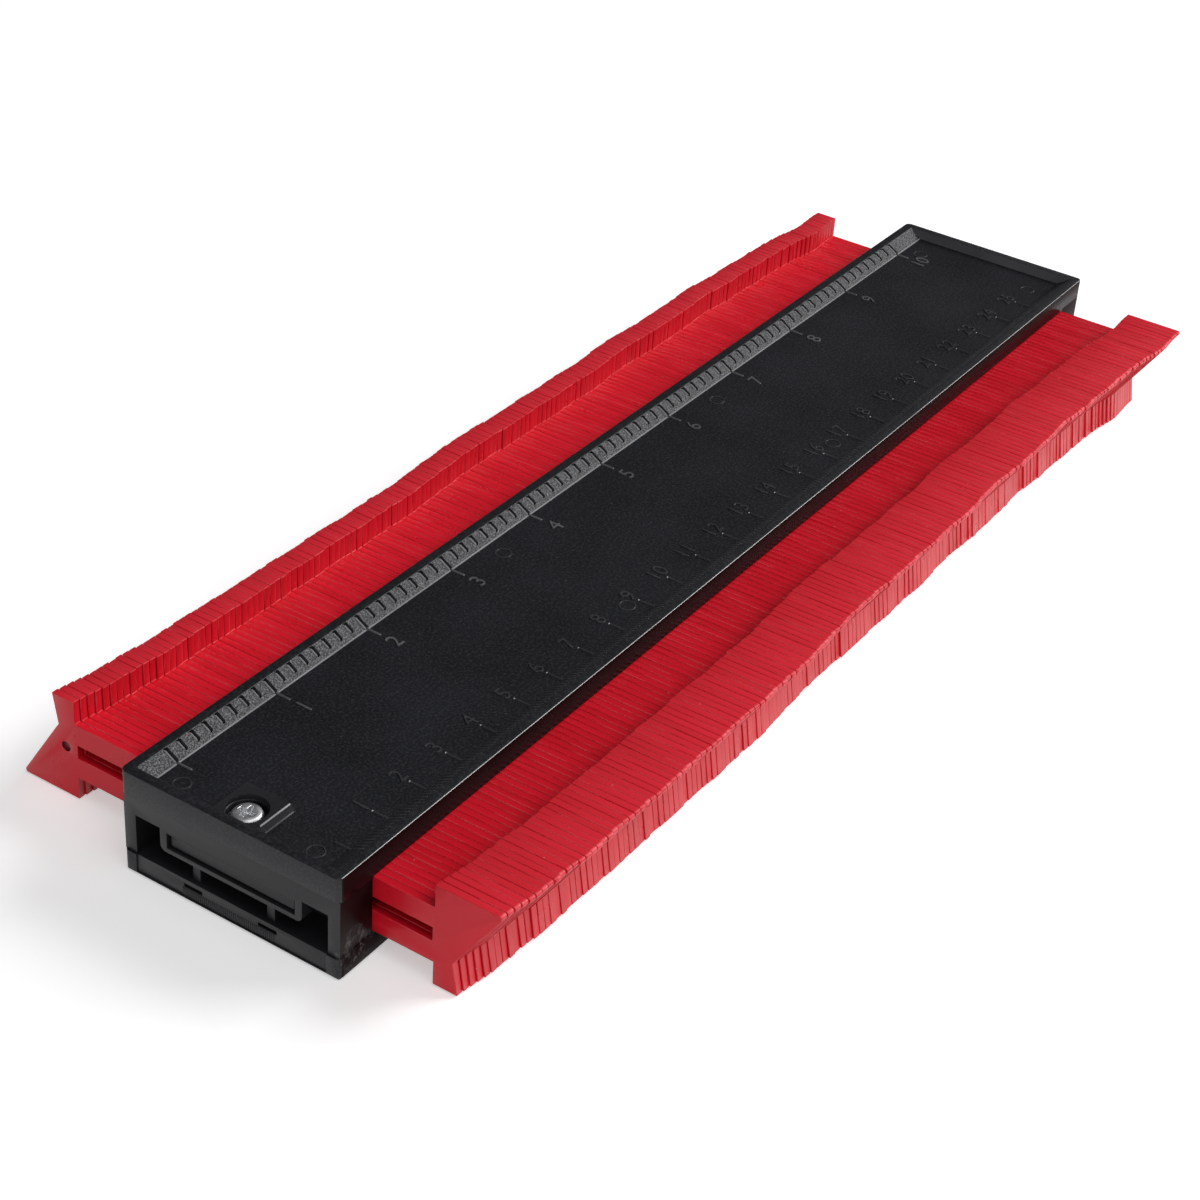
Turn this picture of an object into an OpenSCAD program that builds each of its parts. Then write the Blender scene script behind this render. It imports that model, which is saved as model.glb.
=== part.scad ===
// Contour gauge: a row of thin leaves that slide sideways between two moulded covers.
// Millimetres. X runs along the housing, Y along the leaves' travel, Z up.
// The origin is the centre of the flat underside.

/* [Leaves] */
// Number of leaf packs along the housing
pack_count = 41; // [20:1:54]
// Leaves in one pack
leaves_per_pack = 4; // [2:1:6]
// Distance from one leaf to the next
leaf_pitch = 1.58; // [1.2:0.01:2.4]
// Gap between neighbouring leaves
leaf_gap = 0.03; // [0.02:0.01:0.1]
// Length of a leaf from tip to tip
leaf_l = 103.2; // [96:0.1:130]
// Distance between the inner walls of a leaf's two arms
arm_span = 77.4; // [70:0.1:84]
// Width of an arm across its blunt end
blunt_w = 5; // [4.5:0.1:7]
// Distance of the notch between blunt end and wedge from the arm's inner wall
notch_w = 3.9; // [2.5:0.1:4.4]
// Height of the notch above the leaf's middle
notch_z = 4.2; // [2:0.1:6]
// Radius of the wedge's tip
tip_r = 0.55; // [0.2:0.05:0.8]
// Height of the arms above the surface that the gauge lies on
arm_lift = 0.2; // [0.1:0.05:1.5]
// Distance from the end of the leaf's slot to the arm's inner wall
slot_end = 0.3; // [0:0.1:3]
// Diameter of the shallow gate mark on a leaf's face
gate_d = 2; // [1:0.1:3]
// Depth of the gate mark
gate_depth = 0.5; // [0.1:0.05:0.5]
// Distance of the gate mark from the arm's inner wall
gate_inset = 2.4; // [1.8:0.1:3]

/* [Leaf wave at rest] */
// Sideways shift of all the leaves
wave_base = 0.84; // [-2:0.02:2]
// Extra shift of the first leaves
near_push = 2.5; // [0:0.1:5]
// Share of the row over which that shift dies away
near_reach = 0.045; // [0.02:0.005:0.2]
// Extra shift of the leaves past the middle
middle_push = 0.84; // [0:0.02:4]
// Share of the row at which that shift is largest
middle_at = 0.625; // [0.4:0.005:0.8]
// Share of the row over which it falls off on either side
middle_reach = 0.22; // [0.1:0.01:0.5]
// Shift of the last leaves the other way
far_pull = 1.7; // [0:0.1:4]
// Share of the row at which that shift sets in
far_at = 0.945; // [0.85:0.005:0.98]
// Share of the row over which it sets in
far_reach = 0.009; // [0.004:0.001:0.03]
// Height of the longest ripple along the row
ripple_h = 0.25; // [0:0.01:0.5]
// How fast the ripples get lower as they get shorter
ripple_fall = 0.8; // [0.5:0.1:2]

/* [Housing] */
// Width of the covers
housing_w = 46.5; // [40:0.5:52]
// Height from the underside to the rim
housing_h = 21.25; // [20:0.05:26]
// Depth of each cover along the leaves
cover_t = 4.75; // [4.6:0.05:5.6]
// Depth of a cover at the end that its screw holds
lip_t = 5.05; // [5:0.05:6]
// Depth of a cover at the end that takes a frame's foot
foot_t = 4.35; // [3.6:0.05:5]
// Thickness of the plate that closes each cover
plate_t = 2; // [1.6:0.1:2.2]
// Width of the rails along a cover's long sides
rail_w = 2; // [1.5:0.1:4]
// Length of the housing before the first leaf
near_end_l = 8.7; // [7.4:0.1:14]
// Length of the housing past the last leaf
far_end_l = 9.2; // [7.4:0.1:14]
// Radius of the covers' upright corners
corner_r = 1.2; // [0.5:0.1:2]
// Chamfer round the underside
base_chamfer = 0.4; // [0.2:0.1:0.5]

/* [Ruler tray] */
// Width of the flat rim round the tray
rim_w = 2; // [1:0.05:3]
// Width of the sloped bevels along the tray's sides
bevel_w = 3; // [1.5:0.1:4]
// Width of the steep walls at the tray's ends
end_bevel_w = 0.7; // [0.2:0.1:2]
// Depth of the tray
tray_d = 1.8; // [1.6:0.1:2.3]
// Parts that the scale divides an inch into
inch_parts = 8; // [4:4:16]
// Diameter of the half-round ribs that mark them down the bevel
inch_rib_d = 1; // [0.4:0.05:1.2]
// Length of the ribs between whole inches
part_rib_l = 2.5; // [1:0.1:2.8]
// Depth of the ribs' upper ends below the rim
rib_drop = 0.05; // [0.02:0.01:0.2]
// Depth of the ribs' and lines' middle below the surface that they stand on
mark_sink = 0.04; // [0.02:0.01:0.1]
// Diameter of the half-round lines on the tray's floor
floor_line_d = 0.55; // [0.2:0.05:0.8]
// Length of the inch lines on the floor
inch_line_l = 3.1; // [1:0.1:4]
// Length of the centimetre lines on the floor
cm_line_l = 3.2; // [1:0.1:4]

/* [End frames] */
// Distance of a frame's face behind the ends of the covers
frame_inset = 0.4; // [0.3:0.05:1]
// Distance of a frame's sides behind the sides of the covers
frame_side_inset = 0.2; // [0.1:0.05:0.8]
// Width of the corner posts
post_w = 2.5; // [1.5:0.05:4]
// Height of the band above the window
band_h = 3.75; // [3:0.05:4.4]
// Thickness of the wall next to the leaves
back_wall = 1.4; // [1:0.1:2.5]
// Thickness of the trough's side walls
trough_wall = 1.45; // [1:0.05:2.5]
// Thickness of the trough's floor
trough_floor = 0.9; // [0.8:0.1:1.8]
// Gap between the bar and the trough's walls and floor
trough_gap = 0.5; // [0.3:0.05:1]
// Radius of the trough's lower corners
trough_r = 1.2; // [0.5:0.1:1.6]
// Distance of the two ribs from the middle
rib_y = 8; // [5:0.1:11]
// Width of the ribs
rib_w = 1.6; // [1:0.1:2.5]
// Distance of the ribs behind the frame's face
rib_setback = 0.8; // [0.2:0.1:2]
// Thickness of the sill that the ribs stand on
sill_t = 0.8; // [0.6:0.1:1.2]
// Distance of the sill behind the frame's face
sill_setback = 1; // [0.5:0.1:2]
// Distance that the sill reaches under each post
sill_reach = 1.2; // [0.6:0.1:1.8]
// Gap between the foot plate's ends and the posts
foot_trim = 0.15; // [0.1:0.05:0.5]
// Thickness of the foot plate
foot_plate_t = 1.8; // [1.4:0.1:2.4]
// Distance that the foot plate stands out of the frame's face
foot_step = 0.2; // [0.1:0.05:0.3]
// Height of the foot plate above the outside of its cover
foot_margin = 0.65; // [0.5:0.05:1]
// Length of the latch slots in the foot plate
latch_l = 4; // [2:0.1:6]
// Height of the latch slots
latch_h = 0.8; // [0.5:0.1:1.2]
// Distance of the latch slots' middle below the top of the foot
latch_drop = 1.3; // [1:0.1:1.6]

/* [Guide bar] */
// Width of the bar
bar_w = 26.4; // [18:0.1:28]
// Thickness of the bar
bar_t = 2.6; // [1.8:0.1:2.8]
// Chamfer along the bar's edges
bar_chamfer = 0.3; // [0.1:0.1:0.6]
// Distance of the bar's ends behind the frames' faces
bar_setback = 0.5; // [0.2:0.1:2]

/* [Screws] */
// Distance of a screw from the end of the housing
screw_inset = 5; // [4.2:0.1:5.4]
// Diameter of the screw heads
head_d = 5.6; // [5:0.1:6.5]
// Height of the screw heads
head_h = 2; // [1.5:0.1:2.2]
// Height of the heads' straight sides
head_side_h = 1; // [0.6:0.1:1.2]
// Diameter of the heads' flat tops
head_top_d = 3.8; // [3.4:0.1:4.4]
// Diameter of the screws' shanks
shank_d = 2.9; // [2.5:0.1:3.5]
// Length of the shanks
shank_l = 9; // [8.4:0.1:9.2]
// Distance of the head's top below the cover's outside
head_sink = 0.6; // [0.4:0.1:0.8]
// Diameter of the counterbores
counterbore_d = 7.3; // [6.8:0.1:8]
// Width of the screw pad in the tray
pad_w = 9; // [8.6:0.1:12]
// Distance of the screw pad's top below the rim
pad_drop = 1.1; // [0.6:0.1:1.5]
// Length of the pad past the end frame
pad_over = 2; // [0.5:0.1:5]
// Width of the cross recess's arms
recess_w = 0.9; // [0.6:0.1:1.2]
// Length of the cross recess from tip to tip
recess_l = 3.2; // [2.4:0.1:4]
// Depth of the cross recess
recess_d = 1.1; // [0.6:0.1:1.4]

/* [Clearances] */
// Gap between the leaves and the covers
slide_gap = 0.125; // [0.105:0.005:0.4]
// Gap between the bar and the leaves' slots
bar_gap = 0.12; // [0.105:0.005:0.3]
// Gap between the leaves and the end frames
end_gap = 0.12; // [0.105:0.005:0.4]
// Gap between pieces that seat on one another
seat_gap = 0.05; // [0.02:0.01:0.1]
// Gap round a screw's shank in the piece that it passes through
shank_gap = 0.15; // [0.1:0.05:0.3]

/* [Hidden] */
$fn = 48;
// Overshoot of cutting shapes
cut = 1;
leaf_count = pack_count * leaves_per_pack;
leaf_t = leaf_pitch - leaf_gap;
pack_l = leaf_count * leaf_pitch;
housing_l = near_end_l + pack_l + far_end_l;
row_start = near_end_l - housing_l / 2;
leaf_mid_z = housing_h / 2;
arm_h = housing_h - 2 * arm_lift;
strip_h = housing_h - 2 * cover_t - 2 * slide_gap;
slot_h = bar_t + 2 * bar_gap;
slot_l = arm_span - 2 * slot_end;

frame_w = housing_w - 2 * frame_side_inset;
frame_h = housing_h - lip_t - foot_t;
window_w = frame_w - 2 * post_w;
window_h = frame_h - band_h;
sill_w = window_w + 2 * sill_reach;
foot_w = window_w - 2 * foot_trim;
bar_bottom = leaf_mid_z - bar_t / 2;
trough_in_w = bar_w + 2 * trough_gap;
trough_out_w = trough_in_w + 2 * trough_wall;
trough_z = bar_bottom - trough_gap - trough_floor;
seat_depth = head_sink + head_h;
plate_line = tray_d + plate_t;
bevel_top_y = housing_w / 2 - rim_w;
bevel_foot_y = bevel_top_y - bevel_w;
bevel_l = norm([bevel_w, tray_d]);
bevel_a = atan2(tray_d, bevel_w);
inch = 25.4;
centimetre = 10;
inches = floor(pack_l / inch);
centimetres = floor(pack_l / centimetre);
// Straight steps along a wedge tip's arc, and round a screw head's shoulder
tip_steps = 4;
shoulder_steps = 3;

// Names of the nodes
function pack_name(p) = str("leaf_pack_", p < 10 ? "0" : "", p);
HOUSING_NODES = ["top_cover", "bottom_cover", "near_end_frame", "far_end_frame", "guide_bar", "cover_screws"];

// Ripples along the row: waves of each, and the angle at which each starts
ripple_waves = [3.2, 5.2, 8, 9.2, 15.2, 19.2];
ripple_start = [298, 354, 0, 60, 122, 63];
function ripple(t, i) =
    ripple_h * pow(ripple_waves[0] / ripple_waves[i], ripple_fall)
    * sin(360 * ripple_waves[i] * t + ripple_start[i]);
function ripples(t, i = 0) = i == len(ripple_waves) ? 0 : ripple(t, i) + ripples(t, i + 1);

// Sideways shift of a leaf at rest, where t runs from 0 at the first leaf to 1 at the last
function leaf_shift(t) =
    wave_base
    + near_push * exp(-t / near_reach)
    + middle_push * exp(-pow((t - middle_at) / middle_reach, 2))
    - far_pull / (1 + exp((far_at - t) / far_reach))
    + ripples(t);

// Outline of one end of a leaf, from its upper inner corner round to its lower one
function tip_point(c, a) = c + tip_r * [cos(a), sin(a)];
function tip_arc(c, from, to) =
    [for (i = [0:tip_steps]) tip_point(c, from + (to - from) * i / tip_steps)];
notch = [arm_span / 2 + notch_w, notch_z];
tip_c = [leaf_l / 2 - tip_r, tip_r - arm_h / 2];
// Angle at which the wedge's flank leaves the notch and runs on to the tip's arc
flank_a = atan2(tip_c[1] - notch[1], tip_c[0] - notch[0]) + asin(tip_r / norm(tip_c - notch));
leaf_end = concat(
    [[arm_span / 2, strip_h / 2], [arm_span / 2, arm_h / 2], [arm_span / 2 + blunt_w, arm_h / 2], notch],
    tip_arc(tip_c, flank_a + 90, -90),
    [[arm_span / 2, -arm_h / 2], [arm_span / 2, -strip_h / 2]]);

// Carries a flat shape drawn in Y and Z along X
module along_x(l) rotate([90, 0, 90]) linear_extrude(l) children();

// Carries a flat shape drawn in X and Z along Y, centred
module along_y(l) translate([0, l / 2, 0]) rotate([90, 0, 0]) linear_extrude(l) children();

// Flat rectangle with round corners
module round_rect(l, w, r) {
    square([l - 2 * r, w], center = true);
    square([l, w - 2 * r], center = true);
    for (x = [-1, 1], y = [-1, 1]) translate([x * (l / 2 - r), y * (w / 2 - r)]) circle(r);
}

// Turns a piece end for end and upside down, as the far end's pieces lie
module turned_over() translate([0, 0, housing_h]) rotate([0, 180, 0]) children();

module leaf() {
    translate([-leaf_t / 2, 0, leaf_mid_z]) difference() {
        along_x(leaf_t) difference() {
            // The two ends are the same shape, half a turn apart
            polygon(concat(leaf_end, -leaf_end));
            square([slot_l, slot_h], center = true);
        }
        translate([-cut, arm_span / 2 + gate_inset, 0]) rotate([0, 90, 0])
            cylinder(d = gate_d, h = cut + gate_depth);
    }
}

module leaf_pack(p) {
    color("crimson") for (i = [0:leaves_per_pack - 1]) {
        k = (p - 1) * leaves_per_pack + i;
        translate([row_start + (k + 0.5) * leaf_pitch, leaf_shift(k / (leaf_count - 1)), 0]) leaf();
    }
}

// Shank hole and counterbore at the end of a cover that its screw holds, seen from below
module screw_hole() {
    translate([screw_inset - housing_l / 2, 0, 0]) {
        translate([0, 0, -cut]) cylinder(d = counterbore_d, h = cut + seat_depth);
        translate([0, 0, -cut]) cylinder(d = shank_d + 2 * shank_gap, h = lip_t + 2 * cut);
    }
}

// Plain cover, outside down: a plate with rails inside, a deep lip at -X and a foot seat at +X
module cover_blank(open_d, lip_l, seat_l) {
    foot_gap_w = foot_w + 2 * seat_gap;
    foot_gap_x = housing_l / 2 - frame_inset - foot_plate_t + foot_step - seat_gap;
    difference() {
        union() {
            linear_extrude(foot_t) round_rect(housing_l, housing_w, corner_r);
            translate([lip_l / 2 - seat_l / 2, 0, 0]) linear_extrude(cover_t)
                square([housing_l - lip_l - seat_l, housing_w], center = true);
            linear_extrude(lip_t) intersection() {
                round_rect(housing_l, housing_w, corner_r);
                translate([-housing_l / 2, -housing_w / 2]) square([lip_l, housing_w]);
            }
        }
        // Hollows between the rails, open to the leaves
        for (side = [-1, 0, 1])
            translate([lip_l - housing_l / 2, 0, open_d])
                along_x(housing_l - lip_l - seat_l) rail_gap(side);
        // Seat of the other frame's sill and foot plate
        translate([housing_l / 2 - seat_l, -sill_w / 2 - seat_gap, foot_t - sill_t - seat_gap])
            cube([seat_l - frame_inset - sill_setback + seat_gap, sill_w + 2 * seat_gap, sill_t + cut]);
        translate([foot_gap_x, -foot_gap_w / 2, foot_margin - seat_gap])
            cube([foot_plate_t + frame_inset + cut, foot_gap_w, foot_t + cut]);
    }
}

// Space between two neighbouring rails of a cover: the middle one, or the one on either side
module rail_gap(side) {
    middle = rib_y - rib_w / 2;
    inner = rib_y + rib_w / 2;
    outer = housing_w / 2 - rail_w;
    if (side == 0) translate([-middle, 0]) square([2 * middle, lip_t]);
    else translate([side > 0 ? inner : -outer, 0]) square([outer - inner, lip_t]);
}

// Sloped pocket that carries the scales on its long bevels
module tray_pocket() {
    l = housing_l - 2 * rim_w;
    w = 2 * bevel_top_y;
    intersection() {
        along_x_centred(l + 2 * cut) pocket_section(w, bevel_w);
        along_y(w + 2 * cut) pocket_section(l, end_bevel_w);
    }
}
module along_x_centred(l) translate([-l / 2, 0, 0]) along_x(l) children();
module pocket_section(w, bevel) {
    slope = bevel / tray_d * cut;
    translate([0, housing_h]) polygon([
        [-w / 2 - slope, cut], [w / 2 + slope, cut], [w / 2 - bevel, -tray_d], [bevel - w / 2, -tray_d]]);
}

// Half-round bar along X, its lower half sunk, from a flat end at x = 0 to a round end at x = l
module half_round(d, l) {
    translate([0, 0, -mark_sink]) rotate([0, 90, 0]) rotate_extrude() intersection() {
        union() {
            square([d / 2, l - d / 2]);
            translate([0, l - d / 2]) circle(d = d);
        }
        square([d / 2, l]);
    }
}

// Rib that runs down the inch bevel from the rim, so many inches along the scale
module inch_rib(at, l) {
    translate([row_start + at * inch, bevel_top_y, housing_h]) rotate([bevel_a, 0, 0]) rotate([0, 0, -90])
        translate([-inch_rib_d, 0, 0]) half_round(inch_rib_d, inch_rib_d + l);
}

// Line on the tray's floor from the foot of a bevel inwards: side is 1 for inches and -1 for centimetres
module floor_line(x, side, l) {
    start_y = side * (bevel_foot_y + floor_line_d);
    translate([x, start_y, housing_h - tray_d]) rotate([0, 0, -side * 90])
        half_round(floor_line_d, floor_line_d + l);
}

module inch_scale() {
    difference() {
        for (i = [0:inches * inch_parts])
            inch_rib(i / inch_parts, i % inch_parts == 0 ? bevel_l : part_rib_l);
        translate([-housing_l / 2, 0, housing_h - rib_drop]) cube([housing_l, housing_w / 2, cut]);
    }
    for (i = [0:inches]) floor_line(row_start + i * inch, 1, inch_line_l);
}

module centimetre_scale() {
    for (i = [0:centimetres]) floor_line(row_start + i * centimetre, -1, cm_line_l);
}

module top_cover() {
    pad_end = near_end_l + pad_over;
    color([0.09, 0.09, 0.1]) difference() {
        union() {
            difference() {
                translate([0, 0, housing_h]) mirror([0, 0, 1]) cover_blank(plate_line, near_end_l, far_end_l);
                tray_pocket();
            }
            translate([rim_w - housing_l / 2, -pad_w / 2, housing_h - plate_line])
                cube([pad_end - rim_w, pad_w, plate_line - pad_drop]);
            inch_scale();
            centimetre_scale();
        }
        translate([0, 0, housing_h]) mirror([0, 0, 1]) screw_hole();
    }
}

// Chamfer all round the underside
module base_chamfers() {
    size = base_chamfer * sqrt(2);
    for (s = [-1, 1]) {
        translate([-housing_l / 2 - cut, s * housing_w / 2, 0]) rotate([45, 0, 0])
            translate([0, -size / 2, -size / 2]) cube([housing_l + 2 * cut, size, size]);
        translate([s * housing_l / 2, -housing_w / 2 - cut, 0]) rotate([0, 45, 0])
            translate([-size / 2, 0, -size / 2]) cube([size, housing_w + 2 * cut, size]);
    }
}

module bottom_cover() {
    color([0.09, 0.09, 0.1]) difference() {
        rotate([0, 0, 180]) difference() {
            cover_blank(plate_t, far_end_l, near_end_l);
            screw_hole();
        }
        base_chamfers();
    }
}

// End frame with its face at x = 0, its foot down and the leaves on its +X side
module end_frame(depth) {
    inner = depth - back_wall;
    band_z = foot_t + window_h;
    difference() {
        union() {
            difference() {
                union() {
                    translate([0, -frame_w / 2, foot_t]) cube([depth, frame_w, frame_h]);
                    translate([sill_setback, -sill_w / 2, foot_t - sill_t])
                        cube([depth - sill_setback, sill_w, 2 * sill_t]);
                }
                translate([-cut, -window_w / 2, foot_t]) cube([inner + cut, window_w, window_h]);
            }
            along_x(inner + back_wall / 2) trough_section(band_z);
            for (s = [-1, 1])
                translate([rib_setback, s * rib_y - rib_w / 2, foot_t - sill_t / 2])
                    cube([inner - rib_setback + back_wall / 2, rib_w, trough_z - foot_t + sill_t]);
            translate([-foot_step, -foot_w / 2, foot_margin])
                cube([foot_plate_t, foot_w, foot_t - foot_margin]);
        }
        // Room for the bar in the trough, and a closer passage in the wall next to the leaves
        translate([-cut, -trough_in_w / 2, bar_bottom - trough_gap])
            cube([inner + cut, trough_in_w, trough_gap + bar_t + seat_gap]);
        translate([inner - cut, -bar_w / 2 - bar_gap, bar_bottom - bar_gap])
            cube([back_wall + 2 * cut, bar_w + 2 * bar_gap, bar_t + 2 * bar_gap]);
        translate([screw_inset - frame_inset, 0, bar_bottom])
            cylinder(d = shank_d + 2 * shank_gap, h = housing_h);
        for (s = [-1, 1])
            translate([-foot_step - cut, s * rib_y - latch_l / 2, foot_t - latch_drop - latch_h / 2])
                cube([foot_plate_t + 2 * cut, latch_l, latch_h]);
    }
}

// Trough in section, round at its lower corners and joined to the band above
module trough_section(band_z) {
    corner_y = trough_out_w / 2 - trough_r;
    h = band_z - trough_z + band_h / 2;
    translate([-corner_y, trough_z]) square([2 * corner_y, h]);
    translate([-trough_out_w / 2, trough_z + trough_r]) square([trough_out_w, h - trough_r]);
    for (s = [-1, 1]) translate([s * corner_y, trough_z + trough_r]) circle(trough_r);
}

module near_end_frame() {
    color([0.1, 0.1, 0.11])
        translate([frame_inset - housing_l / 2, 0, 0]) end_frame(near_end_l - frame_inset - end_gap);
}

module far_end_frame() {
    color([0.1, 0.1, 0.11]) turned_over()
        translate([frame_inset - housing_l / 2, 0, 0]) end_frame(far_end_l - frame_inset - end_gap);
}

module guide_bar() {
    l = housing_l - 2 * frame_inset - 2 * bar_setback;
    w = bar_w / 2;
    t = bar_t / 2;
    right_side = [[w - bar_chamfer, -t], [w, bar_chamfer - t], [w, t - bar_chamfer], [w - bar_chamfer, t]];
    color([0.13, 0.13, 0.14]) difference() {
        translate([0, 0, leaf_mid_z]) along_x_centred(l) polygon(concat(right_side, -right_side));
        for (s = [-1, 1])
            translate([s * (housing_l / 2 - screw_inset), 0, 0])
                cylinder(d = shank_d + 2 * seat_gap, h = housing_h);
    }
}

// Pan-head screw with a cross recess, its seat at z = 0 and its shank down
module cover_screw() {
    top_r = head_top_d / 2;
    round_w = head_d / 2 - top_r;
    round_h = head_h - head_side_h;
    shoulder = [for (i = [0:shoulder_steps], a = 90 * i / shoulder_steps)
        [top_r + round_w * cos(a), head_side_h + round_h * sin(a)]];
    difference() {
        union() {
            rotate_extrude() polygon(concat([[0, 0], [head_d / 2, 0]], shoulder, [[0, head_h]]));
            translate([0, 0, -shank_l]) cylinder(d = shank_d, h = shank_l + head_h / 2);
        }
        for (a = [0, 90])
            rotate([0, 0, a]) translate([-recess_l / 2, -recess_w / 2, head_h - recess_d])
                cube([recess_l, recess_w, head_h]);
    }
}

module cover_screws() {
    color("silver") {
        translate([screw_inset - housing_l / 2, 0, housing_h - seat_depth]) cover_screw();
        turned_over() translate([screw_inset - housing_l / 2, 0, housing_h - seat_depth]) cover_screw();
    }
}

top_cover();
bottom_cover();
near_end_frame();
far_end_frame();
guide_bar();
cover_screws();
for (p = [1:pack_count]) leaf_pack(p);
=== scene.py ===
"""Looks of a contour gauge: red sliding leaves between two black moulded covers with a ruler on top."""
import math

import bmesh
import bpy
import numpy as np
from mathutils import Matrix, Vector


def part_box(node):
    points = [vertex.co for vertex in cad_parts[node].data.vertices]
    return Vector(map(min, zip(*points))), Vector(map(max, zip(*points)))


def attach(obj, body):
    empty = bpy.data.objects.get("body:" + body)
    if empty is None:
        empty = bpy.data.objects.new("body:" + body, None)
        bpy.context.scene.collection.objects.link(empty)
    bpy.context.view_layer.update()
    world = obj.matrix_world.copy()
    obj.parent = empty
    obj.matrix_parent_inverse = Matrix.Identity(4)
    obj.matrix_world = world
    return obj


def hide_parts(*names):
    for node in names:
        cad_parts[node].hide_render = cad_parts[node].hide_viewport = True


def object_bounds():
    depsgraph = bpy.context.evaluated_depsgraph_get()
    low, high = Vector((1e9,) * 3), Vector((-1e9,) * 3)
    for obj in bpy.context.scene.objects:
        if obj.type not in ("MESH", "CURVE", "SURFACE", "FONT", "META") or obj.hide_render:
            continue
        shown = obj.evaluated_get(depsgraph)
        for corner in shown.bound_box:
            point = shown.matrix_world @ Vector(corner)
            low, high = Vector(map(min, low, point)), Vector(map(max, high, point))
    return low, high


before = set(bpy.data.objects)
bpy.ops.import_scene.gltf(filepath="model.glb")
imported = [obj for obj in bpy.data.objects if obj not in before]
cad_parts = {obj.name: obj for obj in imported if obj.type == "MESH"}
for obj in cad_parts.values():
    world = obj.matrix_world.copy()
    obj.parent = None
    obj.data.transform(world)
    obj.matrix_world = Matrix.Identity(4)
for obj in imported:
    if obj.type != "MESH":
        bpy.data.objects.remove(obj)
CAD_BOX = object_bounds()

# Sizes, in metres unless a name says otherwise
MM = 0.001
INCH = 25.4 * MM
CENTIMETRE = 10 * MM

# The housing as the frame holds it
COVER_LOW, COVER_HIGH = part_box("top_cover")
RIM_Z = COVER_HIGH.z
HALF_W = COVER_HIGH.y
NEAR_FACE_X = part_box("near_end_frame")[0].x
LEAF_NODES = sorted(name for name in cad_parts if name.startswith("leaf_pack"))

# Tray of the top cover
RIM_W = 2.0 * MM
BEVEL_W = 3.0 * MM
END_BEVEL_W = 0.7 * MM
TRAY_D = 1.8 * MM
FLOOR_Z = RIM_Z - TRAY_D
BEVEL_TOP_Y = HALF_W - RIM_W
BEVEL_FOOT_Y = BEVEL_TOP_Y - BEVEL_W
BEVEL_L = math.hypot(BEVEL_W, TRAY_D)
BEVEL_TILT = math.atan2(TRAY_D, BEVEL_W)
BEVEL_FILLET = 0.15 * MM
INCH_RIM = Vector((0, BEVEL_TOP_Y, RIM_Z))
OFF_INCH_BEVEL = Vector((0, -math.sin(BEVEL_TILT), math.cos(BEVEL_TILT)))

# Leaves of a pack: their play is across the gauge and up and down
LEAVES_PER_PACK = 4
LEAF_GAP = 0.03 * MM
LEAF_PLAY = (0.13 * MM, 0.035 * MM)
LEAF_SLIM = 0.07 * MM
ARM_WALL_Y = 38.7 * MM
GATE_Y = ARM_WALL_Y + 2.4 * MM
GATE_R = 1.05 * MM
NARROW_FACE = 0.6 * MM * MM

# Scales: both start at the first leaf's face
ZERO_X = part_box(LEAF_NODES[0])[0].x
INCHES = 10
CENTIMETRES = 25
MILLIMETRE_MARKS = 10 * CENTIMETRES + 1
MARKS_Y = 13.5 * MM
INCH_LINE_REACH = 4 * MM
CM_LINE_END_Y = -15.05 * MM

# Raised marks: how deep they are rooted, then the width or radius, height and rounding of each kind
MARK_SINK = 0.1 * MM
FINE_W, FINE_H, FINE_EDGE = 0.26 * MM, 0.07 * MM, 0.03 * MM
FINE_L, FINE_START = 0.8 * BEVEL_L, 0.3 * MM
DOT_R, DOT_H, DOT_EDGE = 0.2 * MM, 0.16 * MM, 0.06 * MM
RIDGE_W, RIDGE_H, RIDGE_EDGE = 0.24 * MM, 0.11 * MM, 0.05 * MM
RING_R, RING_W, RING_H, RING_EDGE = 1.7 * MM, 0.28 * MM, 0.09 * MM, 0.04 * MM
RING_X_MM, RING_Y_MM = (-3.7, 87.2, 165.0, 257.9), (14.1, -14.3)

# Numbers on the scales
INCH_NUMBER_Y, INCH_NUMBER_H = 10.5 * MM, 3.5 * MM
CM_NUMBER_Y, CM_NUMBER_H = -14.1 * MM, 3.4 * MM
NUMBER_RISE, NUMBER_EDGE, NUMBER_THINNED = 0.14 * MM, 0.03 * MM, 0.05 * MM
DIGIT_SHARE = 0.72
DIGIT_STEPS = 4

# Grip on the near foot
FOOT_GRIP_Y = (-9.3 * MM, 10.2 * MM)
FOOT_GRIP_Z = 0.95 * MM
FOOT_GRIP_H = 1.6 * MM
FOOT_RIDGES = 44

# Pad round the near screw, and the two lines beside it: place across, foot and width
SCREW_X = COVER_LOW.x + 5 * MM
PAD_X = (COVER_LOW.x + 1.9 * MM, COVER_LOW.x + 10.4 * MM)
PAD_HALF_W = 4.6 * MM
PAD_TOP_Z = RIM_Z - 0.05 * MM
PAD_SLOPES = (0.6 * MM, 0.8 * MM)
PAD_BORE_R, PAD_BORE_FOOT_Z = 3.75 * MM, RIM_Z - 1.2 * MM
PAD_STEPS = 48
PAD_LINE_X = COVER_LOW.x + 2.8 * MM
PAD_LINE_L, PAD_LINE_H, PAD_LINE_EDGE = 7.5 * MM, 0.16 * MM, 0.07 * MM
PAD_LINES = ((-4.6 * MM, RIM_Z - 0.2 * MM, 0.32 * MM), (-5.3 * MM, FLOOR_Z + 0.3 * MM, 0.3 * MM))
BETWEEN_PAD_LINES_Y = -5 * MM

# Roundness of edges
COVER_EDGE = 0.16 * MM
FRAME_EDGE = 0.16 * MM
LEAF_EDGE = 0.1 * MM
SCREW_EDGE = 0.1 * MM
EDGE_SEGMENTS = 2
SHARP_ANGLE = math.radians(25)

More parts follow.
